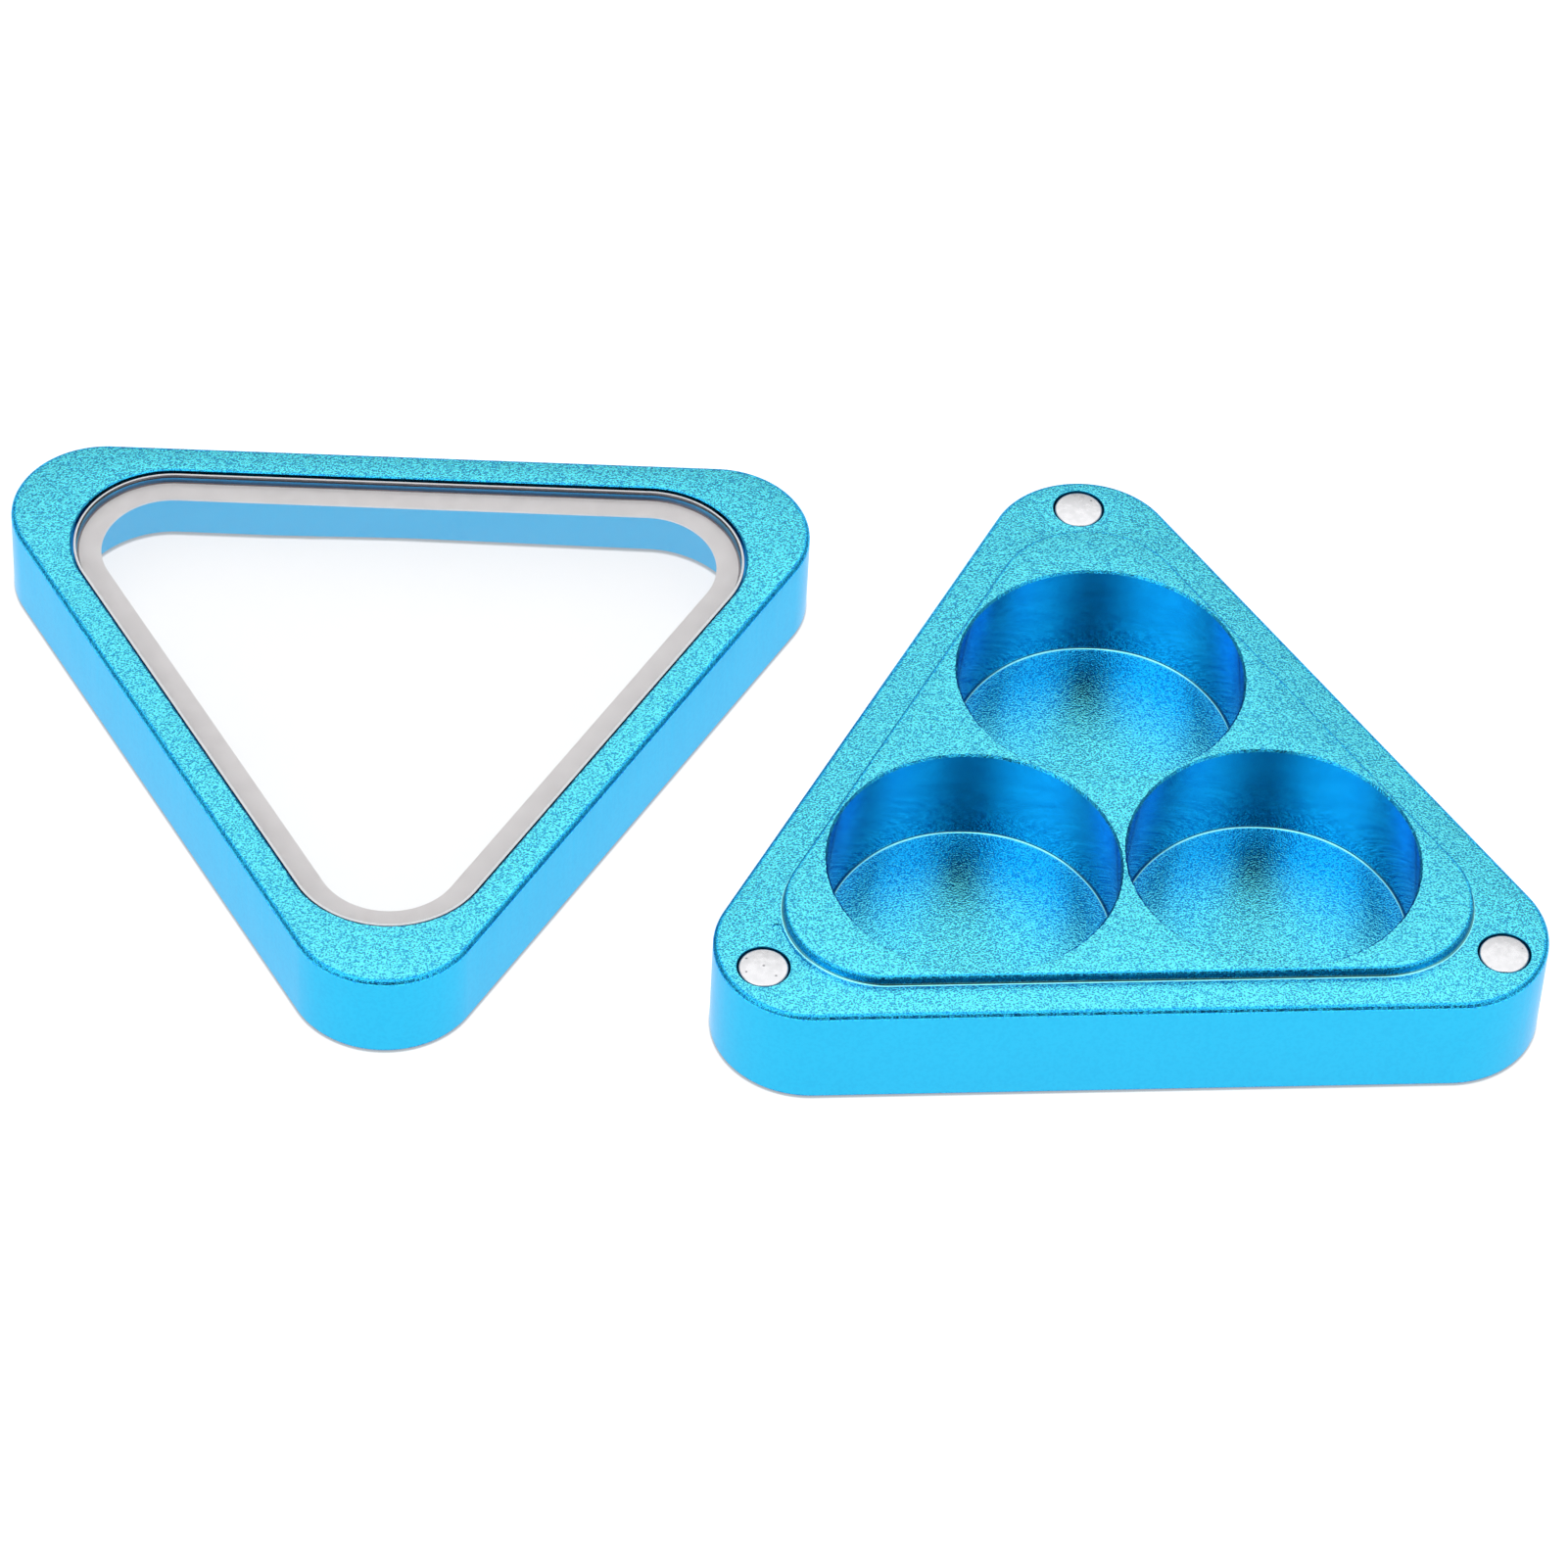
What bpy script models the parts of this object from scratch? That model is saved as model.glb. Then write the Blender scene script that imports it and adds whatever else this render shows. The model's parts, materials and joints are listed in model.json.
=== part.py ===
"""Pocket case shaped like a billiards triangle, milled from two blocks of aluminium.

The base has a raised plateau with three round wells, and a magnet in each corner of the border around it.
The lid has the same outline, a window bonded into its top, a pocket below that takes the plateau, and
three mating magnets. It lies beside the base, right side up, and lifts straight off the table.

Origin: centre of the base's underside. +X to the right, +Y to the base's back corner, +Z up. Metres.
"""

import math

import bpy
import bmesh
from mathutils import Vector

MM = 0.001

# Outline that both blocks share
CASE_WIDTH = 50.0 * MM  # across the two front corners
CORNER_RADIUS = 5.9 * MM
EDGE_CHAMFER = 0.15 * MM  # every outer edge of both blocks

# Base
BASE_HEIGHT = 7.1 * MM  # up to the border that the lid closes on
BORDER_WIDTH = 2.5 * MM  # from the case's side to the plateau's side
PLATEAU_STEP = 0.65 * MM  # height of the plateau above the border
PLATEAU_CHAMFER = 0.1 * MM
PLATEAU_FILLET = 0.15 * MM  # at the plateau's foot
WELL_DEPTH = 6.75 * MM  # below the plateau's top
WELL_PARTING_WALL = 0.4 * MM  # between two wells
WELL_SIDE_WALL = 0.4 * MM  # between a well and the plateau's side
WELL_RIM_CHAMFER = 0.08 * MM
WELL_FLOOR_FILLET = 0.2 * MM

# Magnets, the same six times
MAGNET_DIAMETER = 3.0 * MM
MAGNET_THICKNESS = 2.0 * MM
MAGNET_CHAMFER = 0.1 * MM
MAGNET_CLEARANCE = 0.1 * MM  # around it, in its pocket
MAGNET_RECESS = 0.05 * MM  # below the face it sits in
MAGNET_GLUE = 0.05 * MM  # under it, in its pocket
MAGNET_RIM = 0.85 * MM  # metal between the pocket and the case's corner
MAGNET_LAND = 0.95 * MM  # metal between the pocket and the plateau's corner

# Lid
LID_HEIGHT = 6.15 * MM
LID_RIM_WIDTH = 2.1 * MM  # from the case's side to the window's recess
LID_RIM_CHAMFER = 0.08 * MM
LID_CLEARANCE = 0.3 * MM  # around the plateau when the case is shut
POCKET_CHAMFER = 0.2 * MM  # at the pocket's mouth
LEDGE_WIDTH = 1.0 * MM  # that the window is bonded to
LEDGE_THICKNESS = 0.7 * MM

# Window
PANE_THICKNESS = 1.0 * MM
PANE_RECESS = 0.15 * MM  # below the lid's top face
PANE_CLEARANCE = 0.15 * MM  # around it, in its recess
PANE_CHAMFER = 0.08 * MM
FILM_THICKNESS = 0.15 * MM
FILM_WIDTH = 1.5 * MM
FILM_SETBACK = 0.25 * MM  # from the pane's edge to the film's outer edge
FILM_GLUE = 0.05 * MM  # above and below the film

# Where the lid lies: its side faces the base's left side
LID_GAP = 10.7 * MM  # between the two facing sides
LID_SLIDE = -8.15 * MM  # along the base's left side, towards its back corner
LID_TURN = math.radians(175.8)

# Roundness
CORNER_STEPS = 16
WELL_STEPS = 96
MAGNET_STEPS = 40
FILLET_STEPS = 3
OVERCUT = 1.0 * MM  # that a cutter stands out of what it cuts

# Directions from the centre, in degrees
CORNER_ANGLES = (90.0, 210.0, 330.0)
LEFT_SIDE_NORMAL = math.radians(150.0)
BASE_CORNER_NAMES = ("back", "left", "right")
LID_CORNER_NAMES = ("front", "right", "left")  # once the lid is turned

# Worked out from the sizes above
INRADIUS = (CASE_WIDTH - 2 * CORNER_RADIUS) / (2 * math.sqrt(3)) + CORNER_RADIUS
CORNER_REACH = 2 * INRADIUS - CORNER_RADIUS
MAGNET_POCKET_RADIUS = MAGNET_DIAMETER / 2 + MAGNET_CLEARANCE
MAGNET_POCKET_DEPTH = MAGNET_RECESS + MAGNET_THICKNESS + MAGNET_GLUE
MAGNET_REACH = CORNER_REACH - MAGNET_RIM - MAGNET_POCKET_RADIUS
PLATEAU_INRADIUS = INRADIUS - BORDER_WIDTH
PLATEAU_REACH = MAGNET_REACH - MAGNET_POCKET_RADIUS - MAGNET_LAND
PLATEAU_RADIUS = 2 * PLATEAU_INRADIUS - PLATEAU_REACH
PLATEAU_TOP = BASE_HEIGHT + PLATEAU_STEP
WELL_RADIUS = (PLATEAU_INRADIUS - WELL_SIDE_WALL - WELL_PARTING_WALL / (2 * math.sqrt(3))) / (
    1 + 1 / math.sqrt(3)
)
WELL_REACH = (2 * WELL_RADIUS + WELL_PARTING_WALL) / math.sqrt(3)
WELL_FLOOR = PLATEAU_TOP - WELL_DEPTH
PANE_TOP = LID_HEIGHT - PANE_RECESS
PANE_BOTTOM = PANE_TOP - PANE_THICKNESS
FILM_TOP = PANE_BOTTOM - FILM_GLUE
FILM_BOTTOM = FILM_TOP - FILM_THICKNESS
LEDGE_TOP = FILM_BOTTOM - FILM_GLUE
POCKET_CEILING = LEDGE_TOP - LEDGE_THICKNESS


def clear_scene():
    """Removes every object of the scene."""
    for obj in list(bpy.data.objects):
        bpy.data.objects.remove(obj, do_unlink=True)


def finish(name, colour, roughness, metallic, alpha=1.0):
    """A Principled material of one colour."""
    material = bpy.data.materials.new(name)
    material.use_nodes = True
    shader = material.node_tree.nodes["Principled BSDF"]
    shader.inputs["Base Color"].default_value = (*colour, 1.0)
    shader.inputs["Roughness"].default_value = roughness
    shader.inputs["Metallic"].default_value = metallic
    shader.inputs["Alpha"].default_value = alpha
    return material


def base_finish():
    return finish("base_anodised_blue", (0.07, 0.50, 0.80), 0.40, 0.9)


def lid_finish():
    return finish("lid_anodised_blue", (0.07, 0.52, 0.82), 0.42, 0.9)


def magnet_finish(name):
    return finish(f"{name}_nickel", (0.80, 0.80, 0.80), 0.25, 1.0)


def pane_finish():
    return finish("pane_clear", (0.95, 0.97, 1.0), 0.03, 0.0, alpha=0.2)


def film_finish():
    return finish("film_silver", (0.68, 0.67, 0.68), 0.45, 0.6)


def at_angle(distance, angle):
    """The point at that distance from the centre, in that direction."""
    return Vector((distance * math.cos(angle), distance * math.sin(angle)))


def rounded_triangle(inradius, corner_radius):
    """Outline with one corner at +Y, anticlockwise: three arcs, joined by straight sides."""
    points = []
    for corner_angle in CORNER_ANGLES:
        middle = math.radians(corner_angle)
        centre = at_angle(2 * (inradius - corner_radius), middle)
        for step in range(CORNER_STEPS + 1):
            turn = math.radians(120.0) * (step / CORNER_STEPS - 0.5)
            points.append(centre + at_angle(corner_radius, middle + turn))
    return points


def outer_outline(inset=0.0):
    """The case's outline, moved inwards by inset."""
    return rounded_triangle(INRADIUS - inset, CORNER_RADIUS - inset)


def inner_outline(inset):
    """The outline at that distance inside the case's sides, parallel to the plateau's."""
    return rounded_triangle(INRADIUS - inset, PLATEAU_RADIUS + BORDER_WIDTH - inset)


def circle(radius, centre, steps):
    """A circle about centre, anticlockwise."""
    return [centre + at_angle(radius, 2 * math.pi * step / steps) for step in range(steps)]


def fillet(radius):
    """(inwards, upwards) steps of a quarter round from its foot on the flat to its top on the wall."""
    for step in range(FILLET_STEPS + 1):
        angle = math.pi / 2 * step / FILLET_STEPS
        yield radius * math.sin(angle), radius * (1 - math.cos(angle))


def solid_from_rings(name, rings, material, closed_section=False):
    """Skins a stack of rings, each (outline, height), all with the same number of points.

    The ends are capped, unless closed_section joins the last ring to the first.
    """
    mesh = bpy.data.meshes.new(name)
    shape = bmesh.new()
    loops = [[shape.verts.new((x, y, height)) for x, y in outline] for outline, height in rings]
    pairs = list(zip(loops, loops[1:]))
    if closed_section:
        pairs.append((loops[-1], loops[0]))
    else:
        shape.faces.new(loops[0])
        shape.faces.new(loops[-1])
    for lower, upper in pairs:
        for index, corner in enumerate(lower):
            after = (index + 1) % len(lower)
            shape.faces.new((corner, lower[after], upper[after], upper[index]))
    bmesh.ops.recalc_face_normals(shape, faces=shape.faces)
    shape.to_mesh(mesh)
    shape.free()
    mesh.shade_smooth()
    mesh.set_sharp_from_angle(angle=math.radians(30.0))
    if material is not None:
        mesh.materials.append(material)
    piece = bpy.data.objects.new(name, mesh)
    bpy.context.collection.objects.link(piece)
    return piece


def cutter_from_rings(name, rings):
    """A solid that is only there to be cut away."""
    cutter = solid_from_rings(name, rings, None)
    cutter.hide_render = True
    cutter.display_type = "WIRE"
    return cutter


def cut_away(piece, cutter):
    """Takes the cutter's shape out of the piece."""
    boolean = piece.modifiers.new(f"cut_{cutter.name}", "BOOLEAN")
    boolean.operation = "DIFFERENCE"
    boolean.solver = "EXACT"
    boolean.object = cutter


def lay_beside_base(empty):
    """Puts the lid's empty where the lid lies, one of its sides facing the base's left side."""
    away = at_angle(2 * INRADIUS + LID_GAP, LEFT_SIDE_NORMAL)
    along = at_angle(LID_SLIDE, LEFT_SIDE_NORMAL - math.pi / 2)
    empty.location = (away + along).to_3d()
    empty.rotation_euler = (0.0, 0.0, LID_TURN)


def add_magnets(prefix, corner_names, block, face_height, inwards, parent=None):
    """Cuts three pockets into the block's face and sets a magnet in each.

    inwards is +1 where the pocket goes up from the face, and -1 where it goes down.
    """
    for corner_name, corner_angle in zip(corner_names, CORNER_ANGLES):
        centre = at_angle(MAGNET_REACH, math.radians(corner_angle))
        depths = (-OVERCUT, MAGNET_POCKET_DEPTH)
        pocket_outline = circle(MAGNET_POCKET_RADIUS, centre, MAGNET_STEPS)
        pocket = cutter_from_rings(
            f"{prefix}_magnet_pocket_{corner_name}",
            [(pocket_outline, face_height + inwards * depth) for depth in depths],
        )
        cut_away(block, pocket)
        name = f"{prefix}_magnet_{corner_name}"
        magnet = solid_from_rings(
            name, magnet_rings(centre, face_height, inwards), magnet_finish(name)
        )
        pocket.parent = parent
        magnet.parent = parent


def magnet_rings(centre, face_height, inwards):
    """A disc with chamfered edges, whose outer face lies just below the face it sits in."""
    radius = MAGNET_DIAMETER / 2
    near = MAGNET_RECESS
    far = MAGNET_RECESS + MAGNET_THICKNESS
    section = (
        (radius - MAGNET_CHAMFER, near),
        (radius, near + MAGNET_CHAMFER),
        (radius, far - MAGNET_CHAMFER),
        (radius - MAGNET_CHAMFER, far),
    )
    return [(circle(r, centre, MAGNET_STEPS), face_height + inwards * depth) for r, depth in section]


def well_cutter(name, centre):
    """The space of one well, with a fillet around its floor and a chamfer at its rim."""
    section = []
    for inwards, upwards in fillet(WELL_FLOOR_FILLET):
        section.append((WELL_RADIUS - WELL_FLOOR_FILLET + inwards, WELL_FLOOR + upwards))
    section.append((WELL_RADIUS, PLATEAU_TOP - WELL_RIM_CHAMFER))
    section.append((WELL_RADIUS + WELL_RIM_CHAMFER, PLATEAU_TOP))
    section.append((WELL_RADIUS + WELL_RIM_CHAMFER, PLATEAU_TOP + OVERCUT))
    rings = [(circle(radius, centre, WELL_STEPS), height) for radius, height in section]
    return cutter_from_rings(name, rings)


def base_body():
    """The milled base: border, plateau and three wells."""
    rings = [
        (outer_outline(EDGE_CHAMFER), 0.0),
        (outer_outline(), EDGE_CHAMFER),
        (outer_outline(), BASE_HEIGHT - EDGE_CHAMFER),
        (outer_outline(EDGE_CHAMFER), BASE_HEIGHT),
    ]
    for inwards, upwards in fillet(PLATEAU_FILLET):
        rings.append((inner_outline(BORDER_WIDTH - PLATEAU_FILLET + inwards), BASE_HEIGHT + upwards))
    rings.append((inner_outline(BORDER_WIDTH), PLATEAU_TOP - PLATEAU_CHAMFER))
    rings.append((inner_outline(BORDER_WIDTH + PLATEAU_CHAMFER), PLATEAU_TOP))
    body = solid_from_rings("base_body", rings, base_finish())
    for corner_name, corner_angle in zip(BASE_CORNER_NAMES, CORNER_ANGLES):
        centre = at_angle(WELL_REACH, math.radians(corner_angle))
        cut_away(body, well_cutter(f"well_{corner_name}", centre))
    return body


def lid_frame(parent):
    """The milled lid: a closed section of rim, window recess, ledge and plateau pocket."""
    pocket_inset = BORDER_WIDTH - LID_CLEARANCE
    rings = [
        (outer_outline(EDGE_CHAMFER), 0.0),
        (outer_outline(), EDGE_CHAMFER),
        (outer_outline(), LID_HEIGHT - EDGE_CHAMFER),
        (outer_outline(EDGE_CHAMFER), LID_HEIGHT),
        (inner_outline(LID_RIM_WIDTH - LID_RIM_CHAMFER), LID_HEIGHT),
        (inner_outline(LID_RIM_WIDTH), LID_HEIGHT - LID_RIM_CHAMFER),
        (inner_outline(LID_RIM_WIDTH), LEDGE_TOP),
        (inner_outline(LID_RIM_WIDTH + LEDGE_WIDTH), LEDGE_TOP),
        (inner_outline(LID_RIM_WIDTH + LEDGE_WIDTH), POCKET_CEILING),
        (inner_outline(pocket_inset), POCKET_CEILING),
        (inner_outline(pocket_inset), POCKET_CHAMFER),
        (inner_outline(pocket_inset - POCKET_CHAMFER), 0.0),
    ]
    frame = solid_from_rings("lid_frame", rings, lid_finish(), closed_section=True)
    frame.parent = parent
    return frame


def window_pane(parent):
    """The clear pane, let into the lid's top."""
    edge = LID_RIM_WIDTH + PANE_CLEARANCE
    rings = [
        (inner_outline(edge + PANE_CHAMFER), PANE_BOTTOM),
        (inner_outline(edge), PANE_BOTTOM + PANE_CHAMFER),
        (inner_outline(edge), PANE_TOP - PANE_CHAMFER),
        (inner_outline(edge + PANE_CHAMFER), PANE_TOP),
    ]
    pane = solid_from_rings("window_pane", rings, pane_finish())
    pane.parent = parent


def window_border(parent):
    """The silver bonding film between the pane and the ledge, a little wider than the ledge."""
    outer = LID_RIM_WIDTH + PANE_CLEARANCE + FILM_SETBACK
    inner = outer + FILM_WIDTH
    rings = [
        (inner_outline(outer), FILM_BOTTOM),
        (inner_outline(outer), FILM_TOP),
        (inner_outline(inner), FILM_TOP),
        (inner_outline(inner), FILM_BOTTOM),
    ]
    film = solid_from_rings("window_border", rings, film_finish(), closed_section=True)
    film.parent = parent


def build_base():
    """The base with its three magnets, whose outer faces look up."""
    add_magnets("base", BASE_CORNER_NAMES, base_body(), BASE_HEIGHT, inwards=-1)


def build_lid():
    """The lid with its window and its three magnets, whose outer faces look down."""
    lift_axis = bpy.data.objects.new("lid_lift_axis", None)
    bpy.context.collection.objects.link(lift_axis)
    lay_beside_base(lift_axis)
    add_magnets("lid", LID_CORNER_NAMES, lid_frame(lift_axis), 0.0, inwards=1, parent=lift_axis)
    window_pane(lift_axis)
    window_border(lift_axis)


clear_scene()
build_base()
build_lid()
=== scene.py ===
"""Looks of a pocket case shaped like a billiards triangle.

The base is milled from aluminium with three round wells in a raised plateau and a disc magnet in
each corner. The lid is milled to the same outline, with a clear window bonded into its top. Both
are bead blasted and anodised sky blue. Lengths are in metres, in the frame's own axes, unless a
name says otherwise.
"""

import json
import logging
import math
from dataclasses import dataclass
from enum import Enum

import bmesh
import bpy
from mathutils import Matrix, Vector, noise


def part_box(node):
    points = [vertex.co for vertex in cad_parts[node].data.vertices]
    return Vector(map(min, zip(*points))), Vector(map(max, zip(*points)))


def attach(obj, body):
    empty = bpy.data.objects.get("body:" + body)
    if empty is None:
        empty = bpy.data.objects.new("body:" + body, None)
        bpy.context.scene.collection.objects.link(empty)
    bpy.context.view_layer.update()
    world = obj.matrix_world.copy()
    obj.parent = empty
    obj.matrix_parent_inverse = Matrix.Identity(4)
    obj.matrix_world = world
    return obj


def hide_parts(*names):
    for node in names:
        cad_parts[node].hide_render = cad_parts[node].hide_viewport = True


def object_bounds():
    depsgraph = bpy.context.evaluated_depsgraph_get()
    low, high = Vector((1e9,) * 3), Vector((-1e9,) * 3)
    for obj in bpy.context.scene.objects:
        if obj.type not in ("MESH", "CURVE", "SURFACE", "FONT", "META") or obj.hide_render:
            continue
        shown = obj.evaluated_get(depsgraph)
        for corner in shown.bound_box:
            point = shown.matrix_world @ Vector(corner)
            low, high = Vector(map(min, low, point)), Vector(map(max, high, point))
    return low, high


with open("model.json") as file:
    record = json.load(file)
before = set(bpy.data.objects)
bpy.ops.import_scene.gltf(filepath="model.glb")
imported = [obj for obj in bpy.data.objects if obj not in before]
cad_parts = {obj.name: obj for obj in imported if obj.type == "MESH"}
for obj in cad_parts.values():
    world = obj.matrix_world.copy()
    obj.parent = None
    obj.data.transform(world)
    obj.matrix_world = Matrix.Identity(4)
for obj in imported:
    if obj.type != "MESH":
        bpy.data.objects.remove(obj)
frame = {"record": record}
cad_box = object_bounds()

Triple = tuple[float, float, float]
Colour = Triple
Span = tuple[float, float]
Outline = list[Vector]
Section = list[tuple[float, float]]
Ring = list[bmesh.types.BMVert]
Socket = bpy.types.NodeSocket

MM = 0.001

# A magnet sits this far below the face that it is glued into.
MAGNET_RECESS = 0.05 * MM
# The blocks' skins stay this far inside the CAD blocks' sides.
OUTLINE_INSET = 0.01 * MM
# Most of a soft noise's values lie in this span.
NOISE_SPAN: Span = (0.3, 0.7)
WHITE = (1.0, 1.0, 1.0, 1.0)

log = logging.getLogger("case")


class Corner(Enum):
    """A corner of either block, by its direction from the centre before the block is turned."""

    APEX = 90.0
    LEFT = 210.0
    RIGHT = 330.0

    @property
    def angle(self) -> float:
        """Direction of the corner, in radians."""
        return math.radians(self.value)


class Surface(Enum):
    """How a face of a milled block was worked, which decides its finish; fillets get a lighter
    colour as a painted highlight.
    """

    BLASTED = 0
    SIDE = 1
    WALL = 2
    EDGE = 3
    # Fillets are coloured lighter than the faces round them: a painted highlight.
    FILLET = 4
    POCKET = 5


class Plain(Enum):
    """The one surface of a piece that is the same all over."""

    ALL = 0


class FilmZone(Enum):
    """A part of the bonding film, or the dark strip round it that is painted shade of the gap at the
    pane's edge.
    """

    BAND = 0
    BEAD = 1


class PaneZone(Enum):
    """A part of the pane."""

    POLISHED = 0
    GROUND = 1


def at_angle(distance: float, angle: float) -> Vector:
    """Returns the point at that distance from the centre, in that direction in radians."""
    return Vector((distance * math.cos(angle), distance * math.sin(angle)))


def circle(centre: Vector, radius: float, steps: int) -> Outline:
    """Returns a circle about centre, anticlockwise."""
    return [centre + at_angle(radius, math.tau * step / steps) for step in range(steps)]


def fillet(radius: float, steps: int) -> Section:
    """Steps round an inside corner between a flat and a wall.

    Args:
        radius: radius of the round.
        steps: number of facets.

    Returns:
        (towards the wall, up the wall) from the fillet's foot on the flat to its top on the wall.
    """
    angles = [math.pi / 2 * step / steps for step in range(steps + 1)]
    return [(radius * math.sin(angle), radius * (1 - math.cos(angle))) for angle in angles]


def broken_edge(size: float, steps: int, roundness: float) -> Section:
    """Steps over an outside edge that was chamfered and then softened by blasting.

    Args:
        size: how far the edge is taken back on each face.
        steps: number of facets.
        roundness: 1 for a straight chamfer, 2 for a full round.

    Returns:
        (inwards from the side, down from the top), from the side face to the top face.
    """
    power = 2 / roundness
    angles = [math.pi / 2 * step / steps for step in range(steps + 1)]
    return [
        (size * (1 - abs(math.cos(angle)) ** power), size * (1 - abs(math.sin(angle)) ** power))
        for angle in angles
    ]


@dataclass(frozen=True)
class RoundedTriangle:
    """Outline of three arcs joined by straight sides, with one corner at +Y."""

    inradius: float
    corner_radius: float

    def inset(self, distance: float) -> "RoundedTriangle":
        """Returns the parallel outline that far inside this one."""
        return RoundedTriangle(self.inradius - distance, self.corner_radius - distance)

    def corner_centre(self, corner: Corner) -> Vector:
        """Returns the centre of a corner's arc."""
        return at_angle(2 * (self.inradius - self.corner_radius), corner.angle)

    def points(self, corner_steps: int, side_steps: int) -> Outline:
        """Points of the outline, anticlockwise.

        Args:
            corner_steps: number of facets round each corner.
            side_steps: number of facets along each straight side.

        Returns:
            The points, from the start of the apex corner round to the end of the last side.
        """
        sweep = math.radians(120.0)
        turns = [sweep * (step / corner_steps - 0.5) for step in range(corner_steps + 1)]
        arcs = []
        for corner in Corner:
            centre = self.corner_centre(corner)
            angles = [corner.angle + turn for turn in turns]
            arcs.append([centre + at_angle(self.corner_radius, angle) for angle in angles])
        found = []
        for arc, after in zip(arcs, arcs[1:] + arcs[:1]):
            found += arc
            found += [arc[-1].lerp(after[0], step / side_steps) for step in range(1, side_steps)]
        return found


@dataclass(frozen=True)
class Nicks:
    """How unevenly blasting leaves an edge."""

    reach: float = 0.07 * MM
    pitch: float = 0.16 * MM
    swing: float = 0.9

    def share(self, spot: Vector, layer: float) -> float:
        """How far back the edge is worn at a point.

        Args:
            spot: the point.
            layer: tells one edge's nicks from another's.

        Returns:
            0 for not at all, 1 for the whole reach.
        """
        found = noise.noise(Vector((spot.x / self.pitch, spot.y / self.pitch, layer)))
        return min(1.0, max(0.0, 0.5 + self.swing * found))


@dataclass(frozen=True)
class Placement:
    """Where a block lies: its centre on the table and its turn about +Z."""

    centre: Vector
    turn: float

    @classmethod
    def of_magnets(cls, apex: str, left: str, right: str) -> "Placement":
        """Finds a block's place from the three magnets in its corners.

        Args:
            apex: CAD node of the magnet in the block's apex corner.
            left: CAD node of the magnet in its left corner.
            right: CAD node of the magnet in its right corner.

        Returns:
            The block's place.
        """
        spots = [sum(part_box(node), Vector()).to_2d() / 2 for node in (apex, left, right)]
        centre = sum(spots, Vector((0.0, 0.0))) / 3
        towards_apex = spots[0] - centre
        turn = math.atan2(towards_apex.y, towards_apex.x) - Corner.APEX.angle
        return cls(centre, turn)

    @property
    def matrix(self) -> Matrix:
        """Moves a mesh from the block's own axes to where the block lies."""
        return Matrix.Translation(self.centre.to_3d()) @ Matrix.Rotation(self.turn, 4, "Z")

    def reach_of(self, spot: Vector) -> float:
        """Returns how far a spot lies from the centre, seen from above."""
        return (spot.to_2d() - self.centre).length


AS_DRAWN = Placement(Vector((0.0, 0.0)), 0.0)


class Skin:
    """Collects rings, strips and flat faces into one closed mesh."""

    def __init__(self) -> None:
        """Starts an empty skin."""
        self.shape = bmesh.new()

    def ring(self, outline: Outline, height: float) -> Ring:
        """Returns new points along an outline at that height."""
        return [self.shape.verts.new((spot.x, spot.y, height)) for spot in outline]

    def nicked_ring(self, fresh: Outline, worn: Outline, heights: Span, nicks: Nicks) -> Ring:
        """New points that wander between two outlines.

        Args:
            fresh: the outline where the edge is whole.
            worn: the outline where it is worn back most, point for point.
            heights: heights of the two outlines.
            nicks: how the edge wanders.

        Returns:
            The points.
        """
        points = []
        for first, second in zip(fresh, worn):
            share = nicks.share(first, heights[0] / nicks.pitch)
            spot = first.lerp(second, share)
            height = heights[0] + (heights[1] - heights[0]) * share
            points.append(self.shape.verts.new((spot.x, spot.y, height)))
        return points

    def strip(self, first: Ring, second: Ring, surface: Enum) -> None:
        """Joins two rings of the same number of points by a band of faces.

        Args:
            first: one ring.
            second: the ring beside it.
            surface: how the band was worked.
        """
        for index, point in enumerate(first):
            after = (index + 1) % len(first)
            face = self.shape.faces.new((point, first[after], second[after], second[index]))
            face.material_index = surface.value

    def bands(self, rings: list[Ring], surface: Enum) -> None:
        """Joins each ring to the next by a band of that surface."""
        for first, second in zip(rings, rings[1:]):
            self.strip(first, second, surface)

    def cap(self, ring: Ring, surface: Enum) -> None:
        """Closes a ring with one flat face."""
        self.shape.faces.new(ring).material_index = surface.value

    def sheet(self, rings: list[Ring], surface: Enum) -> None:
        """Fills the flat area between an outer ring and the holes in it.

        Args:
            rings: the outer ring and the ring of each hole.
            surface: how the area was worked.
        """
        known, edges = self.shape.edges, []
        for ring in rings:
            for index, point in enumerate(ring):
                ends = (point, ring[(index + 1) % len(ring)])
                edges.append(known.get(ends) or known.new(ends))
        filled = bmesh.ops.triangle_fill(
            self.shape, use_beauty=True, use_dissolve=False, edges=edges, normal=(0.0, 0.0, 1.0)
        )
        for face in filled["geom"]:
            if isinstance(face, bmesh.types.BMFace):
                face.material_index = surface.value

    def finish(
        self, name: str, placement: Placement, sharp_degrees: float = 12.0
    ) -> bpy.types.Object:
        """Turns the skin into a piece.

        Args:
            name: the piece's name.
            placement: where its block lies.
            sharp_degrees: a crease steeper than this stays crisp.

        Returns:
            The new object, with its place in its mesh.
        """
        bmesh.ops.recalc_face_normals(self.shape, faces=self.shape.faces)
        mesh = bpy.data.meshes.new(name)
        self.shape.to_mesh(mesh)
        self.shape.free()
        mesh.transform(placement.matrix)
        mesh.shade_smooth()
        mesh.set_sharp_from_angle(angle=math.radians(sharp_degrees))
        piece = bpy.data.objects.new(name, mesh)
        bpy.context.scene.collection.objects.link(piece)
        return piece


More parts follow.
